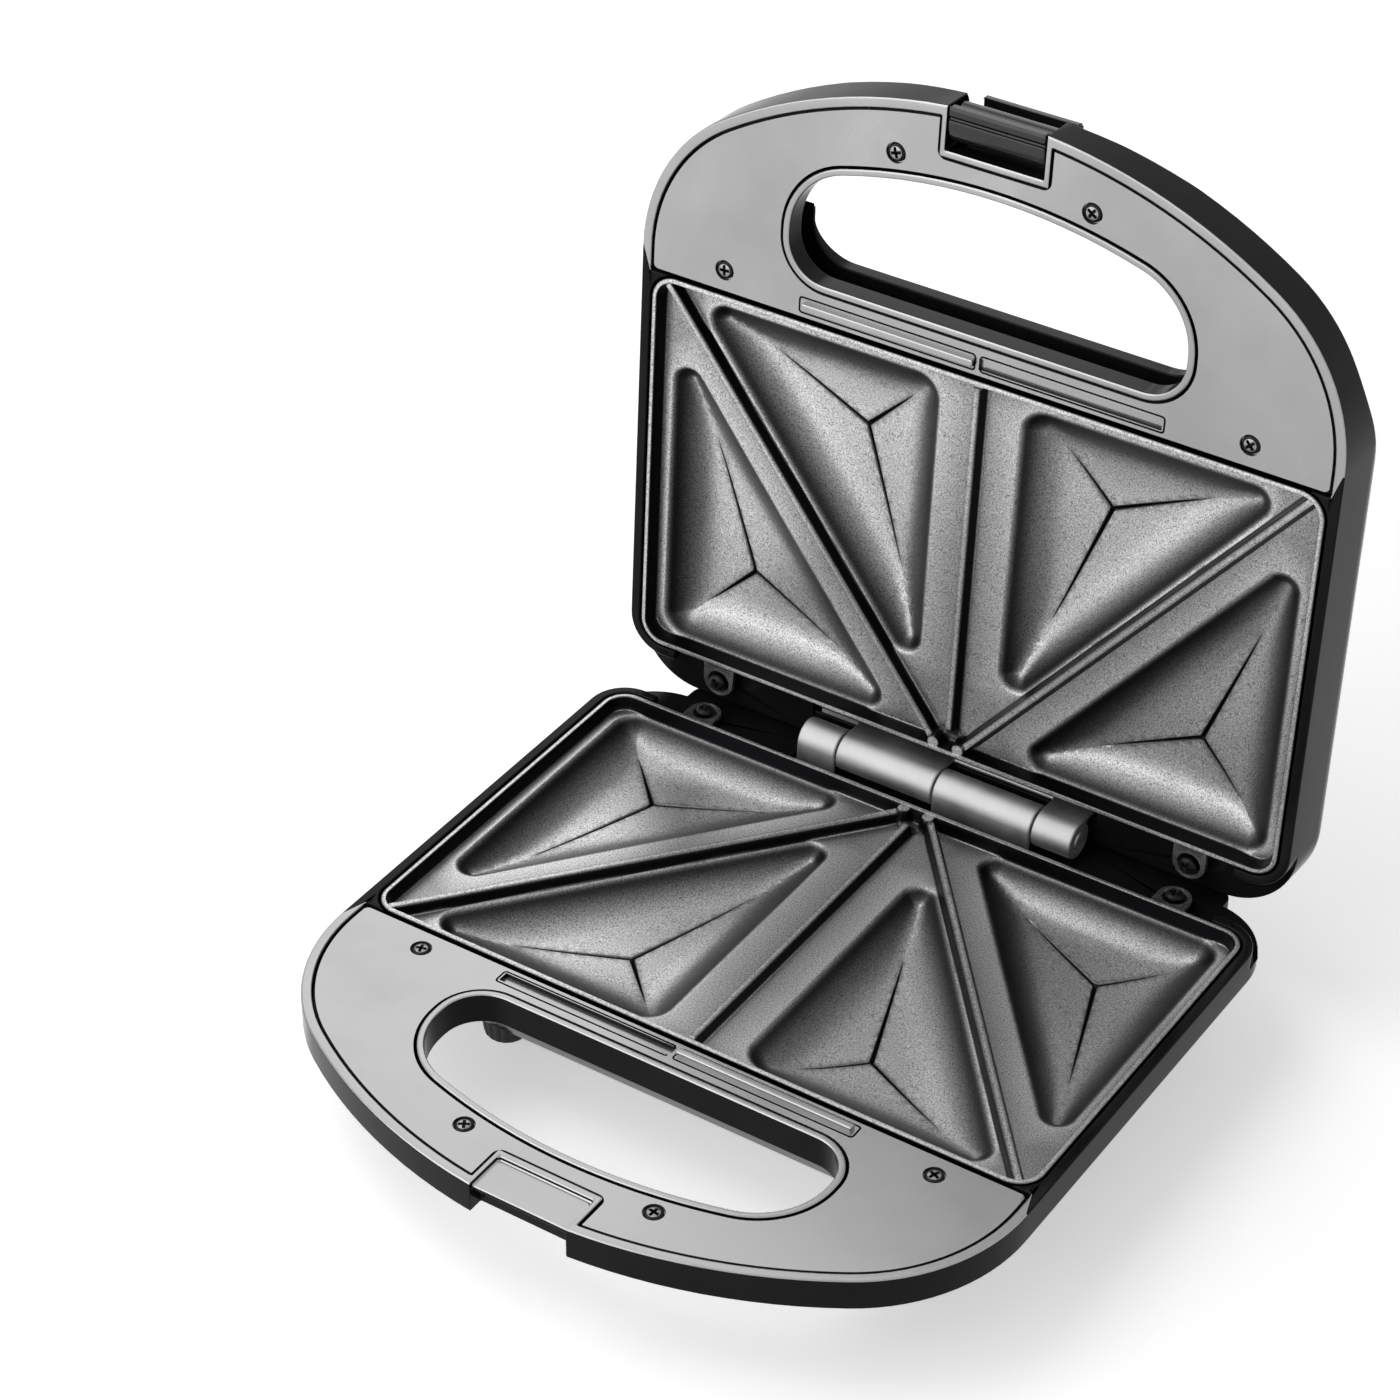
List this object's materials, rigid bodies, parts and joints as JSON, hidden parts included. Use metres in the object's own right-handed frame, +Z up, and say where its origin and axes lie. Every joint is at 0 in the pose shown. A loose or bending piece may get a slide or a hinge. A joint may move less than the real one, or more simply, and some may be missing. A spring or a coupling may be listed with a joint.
{
  "type": "sandwich toaster",
  "caption": "Hinged sandwich toaster with triangular pockets in both plates, D-shaped carrying handles, a swing latch and an indicator window.",
  "frame": {"origin": "on the worktop, under the middle of the base shell", "axes": "+X to the right seen from the front, -Y to the front (handles), +Z up"},
  "size_m": [0.2276, 0.2615, 0.2558],
  "materials": {
    "black_screws": "black zinc",
    "ceramic_parts": "glazed",
    "foot_rubber": "moulded",
    "fuse_case": "sleeved",
    "gland_rubber": "moulded",
    "gloss_black_plastic": "moulded, glossy with a satin deck",
    "green_lens": "tinted ribbed lens",
    "grey_lens": "clear ribbed lens, unlit",
    "heater_sheath": "heat-stained sheath",
    "hinge_steel": "plated, brushed",
    "lamp_board": "board",
    "lamp_glass": "small neon lamps",
    "nonstick_plate": "pressed plate with grey non-stick coating",
    "satin_black_plastic": "moulded, half gloss",
    "tray_sheet": "plain sheet"
  },
  "bodies": {
    "base": {"base_cooking_plate": "nonstick_plate", "base_handle_panel": "satin_black_plastic", "base_heater": "heater_sheath", "base_hinge_leaf": "hinge_steel", "base_hinge_screws": "black_screws", "base_panel_screws": "black_screws", "base_plate_screws": "black_screws", "base_reflector_tray": "tray_sheet", "base_shell": "gloss_black_plastic", "base_thermostat": "ceramic_parts", "base_tray_screws": "black_screws", "bottom_cover": "gloss_black_plastic", "cord_gland": "gland_rubber", "hinge_pin": "hinge_steel", "rubber_feet": "foot_rubber", "terminal_block": "ceramic_parts", "thermal_fuse": "fuse_case"},
    "lid": {"indicator_bezel": "gloss_black_plastic", "lamp_holder": "lamp_board", "latch_pin": "hinge_steel", "lid_cooking_plate": "nonstick_plate", "lid_handle_panel": "satin_black_plastic", "lid_heater": "heater_sheath", "lid_hinge_leaf": "hinge_steel", "lid_hinge_screws": "black_screws", "lid_panel_screws": "black_screws", "lid_plate_screws": "black_screws", "lid_reflector_tray": "tray_sheet", "lid_shell": "gloss_black_plastic", "lid_thermostat": "ceramic_parts", "lid_tray_screws": "black_screws", "neon_lamps": "lamp_glass", "power_lens": "grey_lens", "ready_lens": "green_lens"},
    "latch": {"latch": "gloss_black_plastic"}
  },
  "joints": [
    {"name": "lid_hinge", "type": "hinge", "parent": "base", "child": "lid", "pos_m": [0, 0.1079, 0.038], "axis": [1, 0, 0], "range_deg": [0, 93.8]},
    {"name": "latch_hinge", "type": "hinge", "parent": "lid", "child": "latch", "pos_m": [0, 0.13007, 0.2511], "axis": [1, 0, 0], "range_deg": [0, 176]}
  ]
}
